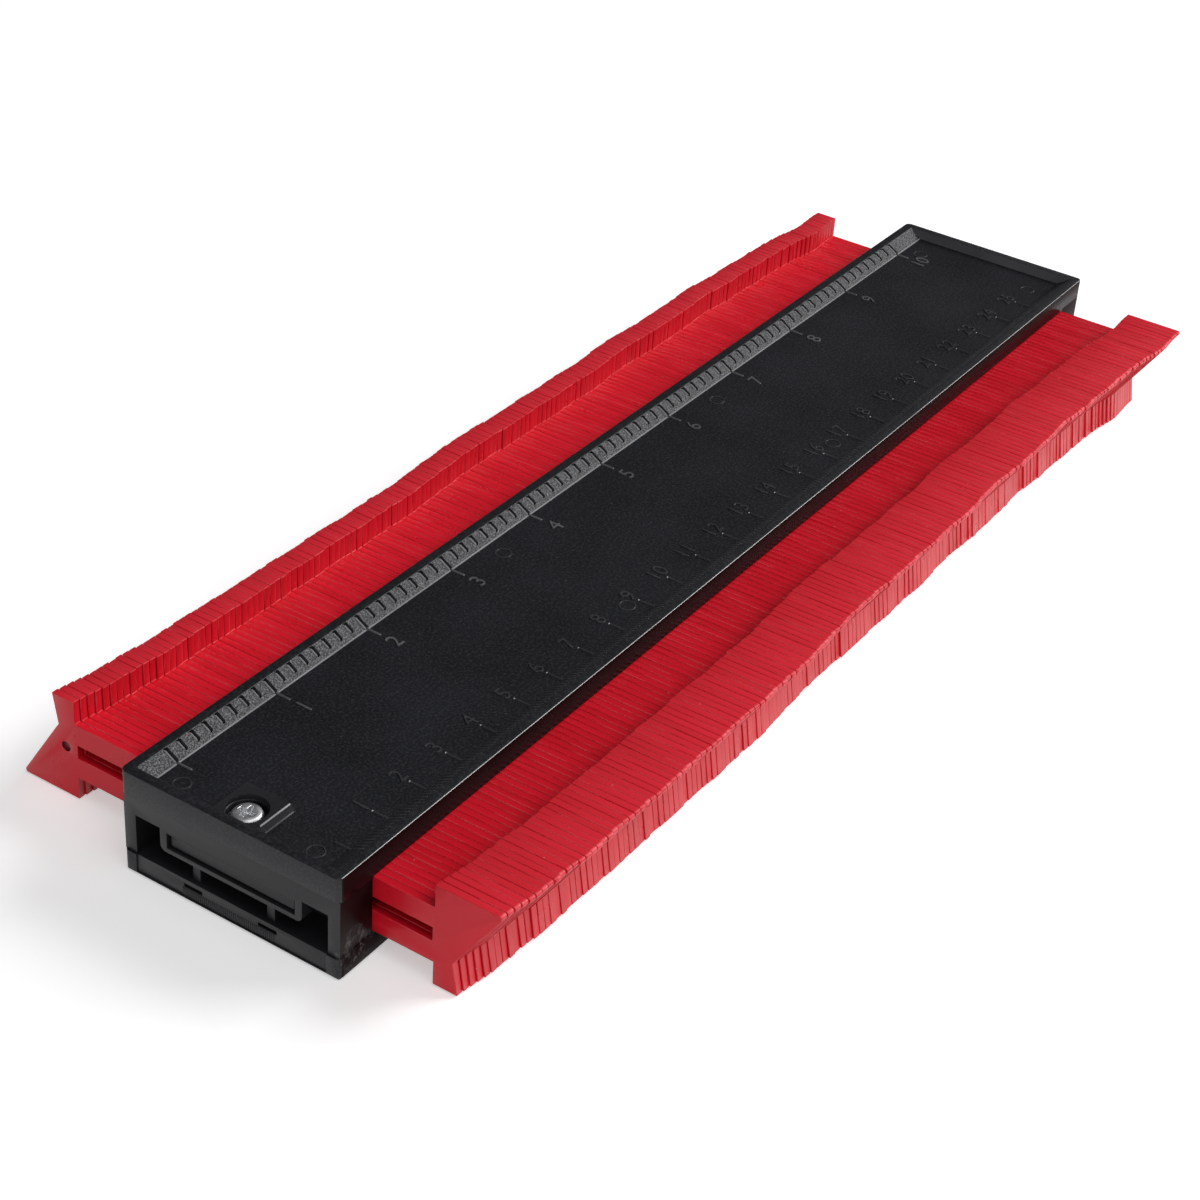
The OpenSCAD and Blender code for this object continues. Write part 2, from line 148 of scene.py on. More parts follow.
# Distances and angles that tell points, faces and places apart
WELD_GAP = 2e-6
FLAT_ANGLE = math.radians(0.6)
FLUSH = MM / 50
EDGE_REACH = MM / 5
NEAR_LIMIT = MM / 2

# Shares of a face's normal along an axis, or along a slope, that tell faces apart
LEAF_EDGE_X = 0.1
LEAF_FLAT = 0.97
ARM_TOP_Z = 0.95
BEVEL_FACE = 0.99
# Ribs' sides past the next share get a painted highlight
RIB_LIT_SIDE_X = -0.65
WALL_FACE_Y = 0.9
TRAY_END_X = 0.8
RIM_EDGE_Z = (0.6, 0.98)
RIM_EDGE_Y = -0.15

# Colours
DUST_GREY = (0.09, 0.09, 0.095)
# Pale grey for the grain's flecks, partly painted sheen
GRAIN_SHEEN_GREY = (0.34, 0.34, 0.355)
SCUFF_GREY = (0.24, 0.235, 0.24)
RED_DEEP, RED_BRIGHT = (0.59, 0.006, 0.016), (0.67, 0.008, 0.022)
# Paler red: real wear on edges, and also painted light on arm tops and painted highlights on edges
RED_WORN_AND_LIT = (0.82, 0.070, 0.090)
# Dark red: painted shade in the hollow of the gate mark
RED_GATE_SHADE = (0.13, 0.003, 0.008)
RED_STREAK = (0.66, 0.05, 0.07)
RED_DUST = (0.75, 0.40, 0.40)
ZINC_DULL, ZINC_BRIGHT = (0.68, 0.69, 0.71), (0.86, 0.86, 0.87)
FLOOR_PALE = (0.9, 0.9, 0.9, 1)
FLOOR_GLOW = (1, 1, 1, 1)
SURROUND = (0.07, 0.07, 0.073, 1)

# Strength of the patterns on the plastics, and how rough and glossy surfaces are
CLOUD_PALER = 1.5
CLOUD_ROUGHNESS = (-0.04, 0.06)
DUST_SHARE = 0.5
DUST_CORE, DUST_MARGIN = 0.6, 0.01
SCUFF_SHARE = 0.7
SCUFF_CORE = 0.4
# How much paler the arm tops are painted, as painted light
ARM_TOP_LIGHT_SHARE = 0.2
STREAK_SHARE = 0.3
RED_ROUGHNESS, WEAR_ROUGHNESS = (0.26, 0.34), 0.12
RED_GLOSS = 0.3
ZINC_ROUGHNESS = (0.4, 0.5)
FLOOR_ROUGHNESS = 0.9

# Floor: half its side, its drop under the gauge, and its glow at two distances from the middle
FLOOR_REACH = 40.0
FLOOR_DROP = 0.2 * MM
GLOW_REACH = (0.5, 1.6)
GLOW_STRENGTH = (0.42, 1.0)

# Camera, from the ruler's marks in the photograph
EYE = Vector((-375.23, -212.75, 277.76)) * MM
AIM = Vector((-34.72, -3.42, 11.98)) * MM
ROLL = math.radians(4.208)
LENS_MM = 75.08
SENSOR_MM = 36.0
CLIP_START = 0.01


# Meshes and objects

def new_object(name, data):
    """A linked object at the origin that shows a mesh, a curve, a lamp or a camera."""
    obj = bpy.data.objects.new(name, data)
    bpy.context.scene.collection.objects.link(obj)
    return obj


def mesh_from(bm, name):
    """Turns a bmesh into a mesh and frees it."""
    mesh = bpy.data.meshes.new(name)
    bm.to_mesh(mesh)
    bm.free()
    return mesh


def joined(name, meshes):
    """One object that holds all the given meshes, which are used up."""
    bm = bmesh.new()
    for mesh in meshes:
        bm.from_mesh(mesh)
        bpy.data.meshes.remove(mesh)
    return new_object(name, mesh_from(bm, name))


def placed(mesh, place):
    """Moves a mesh to a place."""
    mesh.transform(Matrix.Translation(place))
    return mesh


def painted(obj, *materials):
    """Gives an object its materials, instead of any that it has."""
    obj.data.materials.clear()
    for material in materials:
        obj.data.materials.append(material)
    return obj


def settled(obj):
    """Replaces an object's mesh by its evaluated one and takes its modifiers off."""
    graph = bpy.context.evaluated_depsgraph_get()
    evaluated = obj.evaluated_get(graph)
    mesh = bpy.data.meshes.new_from_object(evaluated, preserve_all_data_layers=True, depsgraph=graph)
    obj.modifiers.clear()
    old = obj.data
    obj.data = mesh
    if old.users == 0:
        bpy.data.meshes.remove(old)
    return obj


def welded(mesh):
    """A bmesh of a frame node's loose triangles, joined up, with its flat faces whole."""
    bm = bmesh.new()
    bm.from_mesh(mesh)
    bmesh.ops.remove_doubles(bm, verts=bm.verts, dist=WELD_GAP)
    bmesh.ops.dissolve_limit(bm, angle_limit=FLAT_ANGLE, verts=bm.verts, edges=bm.edges)
    return bm


def on_scale(edge):
    """True for the edges of the two bevels and of the ribs and lines that stand in the tray."""
    return all(MARKS_Y < abs(v.co.y) < BEVEL_TOP_Y + FLUSH / 2 and v.co.z > FLOOR_Z - MARK_SINK
               for v in edge.verts)


def is_corner(edge):
    """True where two faces meet at a clear angle."""
    return edge.is_manifold and edge.calc_face_angle() >= SHARP_ANGLE


def rounded(obj, width, clamp=True):
    """Rounds the corners of an object, as a mould does, and keeps those of the scales sharp."""
    bm = bmesh.new()
    bm.from_mesh(obj.data)
    shares = [float(is_corner(edge) and not on_scale(edge)) for edge in bm.edges]
    sharp = [is_corner(edge) and on_scale(edge) for edge in bm.edges]
    bm.free()
    obj.data.shade_smooth()
    obj.data.attributes.new("bevel_weight_edge", "FLOAT", "EDGE").data.foreach_set("value", shares)
    obj.data.attributes.new("sharp_edge", "BOOLEAN", "EDGE").data.foreach_set("value", sharp)
    bevel = obj.modifiers.new("rounded edges", "BEVEL")
    bevel.width = width
    bevel.segments = EDGE_SEGMENTS
    bevel.limit_method = "WEIGHT"
    bevel.use_clamp_overlap = clamp
    bevel.harden_normals = True
    return settled(obj)


def moulded_copy(node, name, width, clamp=True):
    """A frame node's shape with rounded edges."""
    shape = mesh_from(welded(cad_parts[node].data), name)
    return rounded(new_object(name, shape), width, clamp)


def curve_mesh(curve):
    """Turns a flat curve or a text into a mesh and removes it."""
    obj = new_object(curve.name, curve)
    graph = bpy.context.evaluated_depsgraph_get()
    mesh = bpy.data.meshes.new_from_object(obj.evaluated_get(graph))
    bpy.data.objects.remove(obj)
    bpy.data.curves.remove(curve)
    return mesh


def outline_solid(name, outline, height, edge, hole=None):
    """A flat solid with a rounded top edge: its outline lies in X and Y, from -MARK_SINK up to its height."""
    curve = bpy.data.curves.new(name, "CURVE")
    curve.dimensions = "2D"
    curve.fill_mode = "BOTH"
    thickness = height + MARK_SINK
    curve.extrude = thickness / 2 - edge
    curve.bevel_depth = edge
    curve.bevel_resolution = 1
    curve.offset = -edge
    for points in [outline] + ([hole] if hole else []):
        spline = curve.splines.new("POLY")
        spline.points.add(len(points) - 1)
        for point, (x, y) in zip(spline.points, points):
            point.co = (x, y, 0, 1)
        spline.use_cyclic_u = True
    return placed(curve_mesh(curve), (0, 0, thickness / 2 - MARK_SINK))


def arc(centre, radius, start, end, steps):
    """Points along a round stretch of an outline, angles in degrees."""
    angles = [math.radians(start + (end - start) * i / steps) for i in range(steps + 1)]
    return [(centre[0] + radius * math.cos(a), centre[1] + radius * math.sin(a)) for a in angles]


def bar_outline(length, width, steps=5):
    """Outline of a bar from x = 0 to its round end at x = length."""
    r = width / 2
    return [(0, -r)] + arc((length - r, 0), r, -90, 90, steps) + [(0, r)]


def circle_outline(radius, steps=28):
    """Outline of a full circle about the origin."""
    return arc((0, 0), radius, 0, 360 * (steps - 1) / steps, steps - 1)


# Geometry Nodes trees

def socket_of(sockets, kind, name=None):
    """The first socket of a kind, with the given name if there is one."""
    return next(s for s in sockets if s.type == kind and name in (None, s.name))


def new_tree(name, inputs):
    """A geometry tree with a geometry input, the named inputs and a geometry output."""
    tree = bpy.data.node_groups.new(name, "GeometryNodeTree")
    tree.interface.new_socket("Geometry", in_out="INPUT", socket_type="NodeSocketGeometry")
    for title, kind in inputs:
        tree.interface.new_socket(title, in_out="INPUT", socket_type=kind)
    tree.interface.new_socket("Geometry", in_out="OUTPUT", socket_type="NodeSocketGeometry")
    return tree, tree.nodes.new("NodeGroupInput"), tree.nodes.new("NodeGroupOutput")


def finish_tree(tree, instances, given, out):
    """Ends a tree in Realize Instances and Set Material."""
    realize = tree.nodes.new("GeometryNodeRealizeInstances")
    paint = tree.nodes.new("GeometryNodeSetMaterial")
    tree.links.new(instances, realize.inputs["Geometry"])
    tree.links.new(realize.outputs["Geometry"], paint.inputs["Geometry"])
    tree.links.new(given.outputs["Material"], paint.inputs["Material"])
    tree.links.new(paint.outputs["Geometry"], out.inputs["Geometry"])


def row_tree():
    """Copies of the object's own mesh in a row, one step apart."""
    tree, given, out = new_tree("row of marks", [
        ("Count", "NodeSocketInt"), ("Step", "NodeSocketVector"), ("Material", "NodeSocketMaterial")])
    nodes, links = tree.nodes, tree.links
    line = nodes.new("GeometryNodeMeshLine")
    place = nodes.new("GeometryNodeInstanceOnPoints")
    links.new(given.outputs["Count"], line.inputs["Count"])
    links.new(given.outputs["Step"], line.inputs["Offset"])
    links.new(line.outputs["Mesh"], place.inputs["Points"])
    links.new(given.outputs["Geometry"], place.inputs["Instance"])
    finish_tree(tree, place.outputs["Instances"], given, out)
    return tree


def leaf_tree():
    """One leaf on each point of the object's mesh, each with its own play and tone."""
    tree, given, out = new_tree("leaves of a pack", [
        ("Leaf", "NodeSocketObject"), ("Play", "NodeSocketVector"), ("Seed", "NodeSocketInt"),
        ("Material", "NodeSocketMaterial")])
    nodes, links = tree.nodes, tree.links
    leaf = nodes.new("GeometryNodeObjectInfo")
    lowest = nodes.new("ShaderNodeVectorMath")
    lowest.operation = "SCALE"
    lowest.inputs["Scale"].default_value = -1
    play = nodes.new("FunctionNodeRandomValue")
    play.data_type = "FLOAT_VECTOR"
    nudge = nodes.new("GeometryNodeSetPosition")
    tone = nodes.new("FunctionNodeRandomValue")
    tone.data_type = "FLOAT"
    store = nodes.new("GeometryNodeStoreNamedAttribute")
    store.data_type = "FLOAT"
    store.domain = "INSTANCE"
    store.inputs["Name"].default_value = "leaf_tone"
    place = nodes.new("GeometryNodeInstanceOnPoints")
    links.new(given.outputs["Leaf"], leaf.inputs["Object"])
    links.new(given.outputs["Play"], lowest.inputs[0])
    links.new(lowest.outputs["Vector"], socket_of(play.inputs, "VECTOR", "Min"))
    links.new(given.outputs["Play"], socket_of(play.inputs, "VECTOR", "Max"))
    links.new(given.outputs["Seed"], play.inputs["Seed"])
    links.new(given.outputs["Seed"], tone.inputs["Seed"])
    links.new(given.outputs["Geometry"], nudge.inputs["Geometry"])
    links.new(socket_of(play.outputs, "VECTOR"), nudge.inputs["Offset"])
    links.new(nudge.outputs["Geometry"], place.inputs["Points"])
    links.new(leaf.outputs["Geometry"], place.inputs["Instance"])
    links.new(place.outputs["Instances"], store.inputs["Geometry"])
    links.new(socket_of(tone.outputs, "VALUE"), store.inputs["Value"])
    finish_tree(tree, store.outputs["Geometry"], given, out)
    return tree


def grown(obj, tree, values):
    """Runs a tree on an object with the named values and keeps the result as a plain mesh."""
    modifier = obj.modifiers.new(tree.name, "NODES")
    modifier.node_group = tree
    for item in tree.interface.items_tree:
        if item.in_out == "INPUT" and item.name in values:
            modifier[item.identifier] = values[item.name]
    return settled(obj)


# Patterns for materials

def new_material(name):
    """A node material with its shader, and the Object coordinates of the piece."""
    material = bpy.data.materials.new(name)
    material.use_nodes = True
    nodes = material.node_tree.nodes
    shader = nodes["Principled BSDF"]
    place = nodes.new("ShaderNodeTexCoord").outputs["Object"]
    return material, material.node_tree, shader, place


def attribute(tree, name):
    """A number that the mesh carries."""
    node = tree.nodes.new("ShaderNodeAttribute")
    node.attribute_name = name
    return node.outputs["Fac"]


def noise(tree, place, scale, detail=2.0, roughness=0.5):
    """A noise pattern, of so many features to the metre."""
    node = tree.nodes.new("ShaderNodeTexNoise")
    node.inputs["Scale"].default_value = scale
    node.inputs["Detail"].default_value = detail
    node.inputs["Roughness"].default_value = roughness
    tree.links.new(place, node.inputs["Vector"])
    return node.outputs["Fac"]


def stretched_noise(tree, place, scales, detail, roughness=0.5):
    """A noise pattern with its own scale along each axis."""
    node = tree.nodes.new("ShaderNodeMapping")
    node.inputs["Scale"].default_value = scales
    tree.links.new(place, node.inputs["Vector"])
    return noise(tree, node.outputs["Vector"], 1, detail, roughness)


def spread(tree, value, given, wanted):
    """Maps a pattern's given range onto the wanted one, and clamps it there."""
    node = tree.nodes.new("ShaderNodeMapRange")
    node.clamp = True
    for title, number in zip(("From Min", "From Max", "To Min", "To Max"), given + wanted):
        node.inputs[title].default_value = number
    tree.links.new(value, node.inputs["Value"])
    return node.outputs["Result"]


def blend_colour(tree, share, first, second):
    """Mixes two colours, or outputs, by a pattern."""
    node = tree.nodes.new("ShaderNodeMix")
    node.data_type = "RGBA"
    for name, value in (("A", first), ("B", second)):
        socket = socket_of(node.inputs, "RGBA", name)
        if isinstance(value, tuple):
            socket.default_value = (*value, 1)
        else:
            tree.links.new(value, socket)
    tree.links.new(share, node.inputs["Factor"])
    return socket_of(node.outputs, "RGBA")


def product(tree, first, second):
    """Multiplies two patterns."""
    node = tree.nodes.new("ShaderNodeMath")
    node.operation = "MULTIPLY"
    tree.links.new(first, node.inputs[0])
    tree.links.new(second, node.inputs[1])
    return node.outputs["Value"]


def relief(tree, shader, height, strength, depth):
    """Raises a pattern off the surface."""
    node = tree.nodes.new("ShaderNodeBump")
    node.inputs["Strength"].default_value = strength
    node.inputs["Distance"].default_value = depth
    tree.links.new(height, node.inputs["Height"])
    tree.links.new(node.outputs["Normal"], shader.inputs["Normal"])


def dust(tree, place, scale, size, share):
    """Sparse specks: one small dot in a share of the cells of a Voronoi pattern."""
    cells = tree.nodes.new("ShaderNodeTexVoronoi")
    cells.inputs["Scale"].default_value = scale
    tree.links.new(place, cells.inputs["Vector"])
    dot = spread(tree, cells.outputs["Distance"], (DUST_CORE * size, size), (1, 0))
    parts = tree.nodes.new("ShaderNodeSeparateColor")
    tree.links.new(cells.outputs["Color"], parts.inputs["Color"])
    chosen = spread(tree, parts.outputs["Red"], (share, share + DUST_MARGIN), (1, 0))
    return product(tree, dot, chosen)


def scuffs(tree, place, centre, reach):
    """Pale scratches that gather round a point and fade within a reach."""
    node = tree.nodes.new("ShaderNodeVectorMath")
    node.operation = "DISTANCE"
    tree.links.new(place, node.inputs[0])
    node.inputs[1].default_value = centre
    near = spread(tree, node.outputs["Value"], (SCUFF_CORE * reach, reach), (1, 0))
    scratch = stretched_noise(tree, place, (900, 900, 500), detail=6, roughness=0.75)
    return product(tree, near, spread(tree, scratch, (0.5, 0.62), (0, 1)))


# Materials

def black_plastic(name, colour, roughness, grain, depth, strength, grain_sheen=0.0, scuffed=None, gloss=0.45):
    """Moulded plastic with an eroded grain whose pale flecks are partly painted sheen, cloudy gloss, a little
    dust and, on some pieces, scuffs.
    """
    material, tree, shader, place = new_material(name)
    cloud = noise(tree, place, scale=60, detail=4)
    specks = dust(tree, place, scale=700, size=0.14, share=0.03)
    paler = tuple(c * CLOUD_PALER for c in colour)
    base = blend_colour(tree, spread(tree, cloud, (0.35, 0.7), (0, 1)), colour, paler)
    base = blend_colour(tree, spread(tree, specks, (0, 1), (0, DUST_SHARE)), base, DUST_GREY)
    grit = noise(tree, place, scale=grain, detail=3, roughness=0.65)
    base = blend_colour(tree, spread(tree, grit, (0.46, 0.72), (0, grain_sheen)), base, GRAIN_SHEEN_GREY)
    if scuffed:
        worn = scuffs(tree, place, *scuffed)
        base = blend_colour(tree, spread(tree, worn, (0, 1), (0, SCUFF_SHARE)), base, SCUFF_GREY)
    tree.links.new(base, shader.inputs["Base Color"])
    cloudy = tuple(roughness + change for change in CLOUD_ROUGHNESS)
    tree.links.new(spread(tree, cloud, (0.3, 0.75), cloudy), shader.inputs["Roughness"])
    shader.inputs["Specular IOR Level"].default_value = gloss
    relief(tree, shader, grit, strength, depth)
    return material


def smooth_plastic(name, colour, roughness=0.34):
    """Plastic with hardly any grain, for raised marks and thin edges, in pale colours that are painted
    highlights.
    """
    return black_plastic(name, colour, roughness, grain=1800, depth=0.03 * MM, strength=0.1)


def red_plastic(name):
    """Red leaves: each a little lighter or darker, with arm tops painted paler as lit, edges paler for wear
    and a painted highlight, painted shade in the gate mark, streaks and dust.
    """
    material, tree, shader, place = new_material(name)
    wear_and_highlight = attribute(tree, "leaf_wear")
    base = blend_colour(tree, attribute(tree, "leaf_tone"), RED_DEEP, RED_BRIGHT)
    lit_arm_tops = spread(tree, attribute(tree, "leaf_arm"), (0, 1), (0, ARM_TOP_LIGHT_SHARE))
    base = blend_colour(tree, lit_arm_tops, base, RED_WORN_AND_LIT)
    patches = stretched_noise(tree, place, (420, 90, 160), detail=3)
    worn_and_lit = product(tree, wear_and_highlight, spread(tree, patches, (0.46, 0.62), (0.1, 1)))
    base = blend_colour(tree, worn_and_lit, base, RED_WORN_AND_LIT)
    base = blend_colour(tree, attribute(tree, "leaf_gate"), base, RED_GATE_SHADE)
    streaks = stretched_noise(tree, place, (900, 25, 200), detail=3, roughness=0.6)
    base = blend_colour(tree, spread(tree, streaks, (0.62, 0.8), (0, STREAK_SHARE)), base, RED_STREAK)
    specks = dust(tree, place, scale=800, size=0.12, share=0.04)
    base = blend_colour(tree, spread(tree, specks, (0, 1), (0, DUST_SHARE)), base, RED_DUST)
    tree.links.new(base, shader.inputs["Base Color"])
    cloud = noise(tree, place, scale=140, detail=3)
    rough = tree.nodes.new("ShaderNodeMath")
    rough.operation = "MULTIPLY_ADD"
    tree.links.new(wear_and_highlight, rough.inputs[0])
    rough.inputs[1].default_value = WEAR_ROUGHNESS
    tree.links.new(spread(tree, cloud, (0.3, 0.7), RED_ROUGHNESS), rough.inputs[2])
    tree.links.new(rough.outputs["Value"], shader.inputs["Roughness"])
    shader.inputs["Specular IOR Level"].default_value = RED_GLOSS
    relief(tree, shader, noise(tree, place, scale=1500), strength=0.12, depth=0.05 * MM)
    return material


def zinc_plate(name):
    """Bright zinc on the screws, with a fine grain and dull patches."""
    material, tree, shader, place = new_material(name)
    patch = noise(tree, place, scale=700, detail=3)
    base = blend_colour(tree, spread(tree, patch, (0.35, 0.7), (0, 1)), ZINC_DULL, ZINC_BRIGHT)
    tree.links.new(base, shader.inputs["Base Color"])
    shader.inputs["Metallic"].default_value = 1.0
    tree.links.new(spread(tree, patch, (0.3, 0.7), ZINC_ROUGHNESS), shader.inputs["Roughness"])
    relief(tree, shader, noise(tree, place, scale=5000), strength=0.1, depth=0.03 * MM)
    return material


SCUFF_SPOT = (Vector((COVER_LOW.x + 4.2 * MM, -HALF_W, 4.6 * MM)), 5 * MM)
COVER_BLACK = black_plastic("cover black", (0.005, 0.0055, 0.0075), roughness=0.42, grain=2000,
                            depth=0.1 * MM, strength=0.35, grain_sheen=0.07, scuffed=SCUFF_SPOT, gloss=0.38)
FRAME_BLACK = black_plastic("frame black", (0.0115, 0.0117, 0.0135), roughness=0.42, grain=2200,
                            depth=0.06 * MM, strength=0.25, grain_sheen=0.02, scuffed=SCUFF_SPOT, gloss=0.38)
# The bevel's pale grain is partly painted sheen
BEVEL_GRAIN_SHEEN = black_plastic("bevel grain", (0.008, 0.008, 0.009), roughness=0.42, grain=3300, depth=0.2 * MM,
                            strength=0.8, grain_sheen=0.7)
RIB_BLACK = black_plastic("rib black", (0.006, 0.006, 0.007), roughness=0.5, grain=1800, depth=0.03 * MM,
                          strength=0.1, gloss=0.05)
# The tray's end walls are painted paler, as painted light
TRAY_END_LIGHT = black_plastic("tray end", (0.06, 0.06, 0.064), roughness=0.42, grain=2400, depth=0.08 * MM,
                         strength=0.3, gloss=0.2)
# The marks' pale greys are painted highlights
MARK_HIGHLIGHT = smooth_plastic("mark black", (0.075, 0.0755, 0.078))
FAINT_MARK_HIGHLIGHT = smooth_plastic("faint mark", (0.026, 0.0263, 0.029))

# The wall's tint stands for the red that it mirrors, and the pale colours stand for light on thin edges
WALL_RED_REFLECTION = black_plastic("wall black", (0.011, 0.003, 0.0035), roughness=0.3, grain=2400, depth=0.08 * MM,
                           strength=0.3, scuffed=SCUFF_SPOT, gloss=0.04)
BEVEL_FOOT_HIGHLIGHT = black_plastic("bevel foot", (0.22, 0.22, 0.225), roughness=0.3, grain=2600, depth=0.1 * MM,
                           strength=0.5, grain_sheen=0.9)
RIB_HIGHLIGHT = smooth_plastic("rib edge", (0.30, 0.30, 0.305))
RIM_EDGE_HIGHLIGHT = smooth_plastic("rim edge", (0.38, 0.38, 0.385), roughness=0.3)

LEAF_RED = red_plastic("leaf red")
SCREW_ZINC = zinc_plate("screw zinc")
COVER_PLASTICS = (COVER_BLACK, BEVEL_GRAIN_SHEEN, RIB_BLACK, MARK_HIGHLIGHT, WALL_RED_REFLECTION, RIB_HIGHLIGHT, FAINT_MARK_HIGHLIGHT,
                  RIM_EDGE_HIGHLIGHT, TRAY_END_LIGHT)


# Pieces

def finished(obj, body, slot, *nodes):
    """Lets a piece ride on its body, in place of the given nodes. Its slot is not used."""
    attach(obj, body)
    if nodes:
        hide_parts(*nodes)


# Leaves

def leaf_places(node):
    """Centre of each leaf of a pack, read from the frame."""
    points = np.array([v.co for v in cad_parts[node].data.vertices])
    start, end = points[:, 0].min(), points[:, 0].max()
    pitch = (end - start + LEAF_GAP) / LEAVES_PER_PACK
    places = []
    for number in range(LEAVES_PER_PACK):
        near = start + number * pitch
        inside = (points[:, 0] > near - LEAF_GAP / 2) & (points[:, 0] < near + pitch - LEAF_GAP / 2)
        leaf = points[inside]
        places.append(Vector((leaf.min(0) + leaf.max(0)) / 2))
    return places


def on_leaf_edge(face):
    """True for the narrow rounded edges of a leaf, which rub, and which also carry a painted highlight."""
    narrow = abs(face.normal.x) > LEAF_EDGE_X or face.area < NARROW_FACE
    return narrow and max(abs(c) for c in face.normal) < LEAF_FLAT


def on_arm_top(face):
    """True for the tops and undersides of a leaf's arms, which get a paler colour that is painted light."""
    return abs(face.center.y) > ARM_WALL_Y and abs(face.normal.z) > ARM_TOP_Z


def mark_leaf(mesh):
    """Says which faces of a leaf are its rubbed edges with a painted highlight, which the tops of its arms
    with painted light, and which its gate mark with painted shade.
    """
    face_x = max(v.co.x for v in mesh.vertices) - FLUSH

    def in_gate(face):
        x, y, z = face.center
        return abs(x) < face_x and abs(y - GATE_Y) < GATE_R and abs(z) < GATE_R

    for name, test in (("leaf_wear", on_leaf_edge), ("leaf_arm", on_arm_top), ("leaf_gate", in_gate)):
        shares = [float(test(face)) for face in mesh.polygons]
        mesh.attributes.new(name, "FLOAT", "FACE").data.foreach_set("value", shares)


def one_leaf():
    """The leaf shape itself, about the origin, cut out of the first pack and rounded."""
    node = LEAF_NODES[0]
    centre = leaf_places(node)[0]
    bm = welded(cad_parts[node].data)
    reach = centre.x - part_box(node)[0].x + LEAF_GAP / 2
    others = [v for v in bm.verts if abs(v.co.x - centre.x) > reach]
    bmesh.ops.delete(bm, geom=others, context="VERTS")
    bmesh.ops.translate(bm, verts=bm.verts, vec=-centre)
    slim = 1 - LEAF_SLIM / (2 * reach)
    bmesh.ops.scale(bm, verts=bm.verts, vec=(slim, 1, 1))
    leaf = rounded(new_object("leaf_shape", mesh_from(bm, "leaf_shape")), LEAF_EDGE)
    mark_leaf(leaf.data)
    return leaf


def leaves():
    """All the leaf packs, one mesh to each sliding body. The outermost packs get no play across the gauge."""
    shape = one_leaf()
    tree = leaf_tree()
    for number, node in enumerate(LEAF_NODES):
        mesh = bpy.data.meshes.new(node)
        mesh.from_pydata([tuple(p) for p in leaf_places(node)], [], [])
        pack = new_object(node + "_leaves", mesh)
        low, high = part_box(node)
        outermost = low.y < CAD_BOX[0][1] + NEAR_LIMIT or high.y > CAD_BOX[1][1] - NEAR_LIMIT
        play = (0, 0 if outermost else LEAF_PLAY[0], LEAF_PLAY[1])
        grown(pack, tree, {"Leaf": shape, "Play": play, "Seed": number, "Material": LEAF_RED})
        finished(pack, node, "leaf_red", node)
    bpy.data.objects.remove(shape)


# Housing

def on_wall(face):
    """True for the long outer walls of a cover."""
    return abs(face.normal.y) > WALL_FACE_Y and abs(face.center.y) > HALF_W - NEAR_LIMIT


def on_rim_edge(face):
    """True for the rounding along the rim's outer edge beside the centimetres, painted pale as a highlight
    where it catches the light.
    """
    at_edge = face.center.y < EDGE_REACH - HALF_W and face.center.z > RIM_Z - EDGE_REACH
    return at_edge and RIM_EDGE_Z[0] < face.normal.z < RIM_EDGE_Z[1] and face.normal.y < RIM_EDGE_Y


def on_tray_end(face):
    """True for the steep walls at the tray's ends, which are painted paler as painted light."""
    x, y, z = face.center
    at_end = abs(x) > COVER_HIGH.x - RIM_W - END_BEVEL_W - EDGE_REACH / 2 and abs(y) < BEVEL_TOP_Y
    return at_end and abs(face.normal.x) > TRAY_END_X and FLOOR_Z < z < RIM_Z - EDGE_REACH


def cover_plastic(face):
    """The plastic that a face of the top cover shows."""
    y, z = face.center.y, face.center.z
    off_bevel = (face.center - INCH_RIM).dot(OFF_INCH_BEVEL)
    off_floor = z > FLOOR_Z + FLUSH
    beside_inches = BEVEL_FOOT_Y - INCH_LINE_REACH < y < BEVEL_TOP_Y and z < RIM_Z - FLUSH
    if abs(off_bevel) < FLUSH and face.normal.dot(OFF_INCH_BEVEL) > BEVEL_FACE:
        return BEVEL_GRAIN_SHEEN
    if beside_inches and off_bevel > FLUSH and off_floor:
        # The ribs' near sides get a painted highlight
        rib = RIB_HIGHLIGHT if face.normal.x < RIB_LIT_SIDE_X else RIB_BLACK
        return rib if y > BEVEL_FOOT_Y else MARK_HIGHLIGHT
    if MARKS_Y < -y < BEVEL_FOOT_Y and off_floor and z < RIM_Z - NEAR_LIMIT:
        return FAINT_MARK_HIGHLIGHT
    if on_rim_edge(face):
        return RIM_EDGE_HIGHLIGHT
    if on_wall(face):
        return WALL_RED_REFLECTION
    return TRAY_END_LIGHT if on_tray_end(face) else COVER_BLACK


def top_cover():
    """The top cover with rounded edges, its grained bevel with painted sheen, its walls with a painted red
    reflection, its smooth marks and thin edges with painted highlights, and its tray ends painted paler as
    lit.
    """
    cover = painted(moulded_copy("top_cover", "top_cover_shell", COVER_EDGE, clamp=False), *COVER_PLASTICS)
    for face in cover.data.polygons:
        face.material_index = COVER_PLASTICS.index(cover_plastic(face))
    finished(cover, "housing", "housing_black", "top_cover")


def plain_housing_pieces():
    """Bottom cover, end frames and guide bar with rounded edges; the walls of all but the bar get a painted
    red reflection.
    """
    for node, width, material, slot in (
            ("bottom_cover", COVER_EDGE, COVER_BLACK, "housing_black"),
            ("near_end_frame", FRAME_EDGE, FRAME_BLACK, "frame_black"),
            ("far_end_frame", FRAME_EDGE, FRAME_BLACK, "frame_black"),
            ("guide_bar", FRAME_EDGE, FRAME_BLACK, "bar_black")):
        piece = painted(moulded_copy(node, node + "_shell", width), material)
        if node != "guide_bar":
            piece.data.materials.append(WALL_RED_REFLECTION)
            for face in piece.data.polygons:
                face.material_index = int(on_wall(face))
        finished(piece, "housing", slot, node)


def screws():
    """The two cover screws with softened heads."""
    piece = painted(moulded_copy("cover_screws", "cover_screw_pair", SCREW_EDGE), SCREW_ZINC)
    finished(piece, "housing", "screw_zinc", "cover_screws")


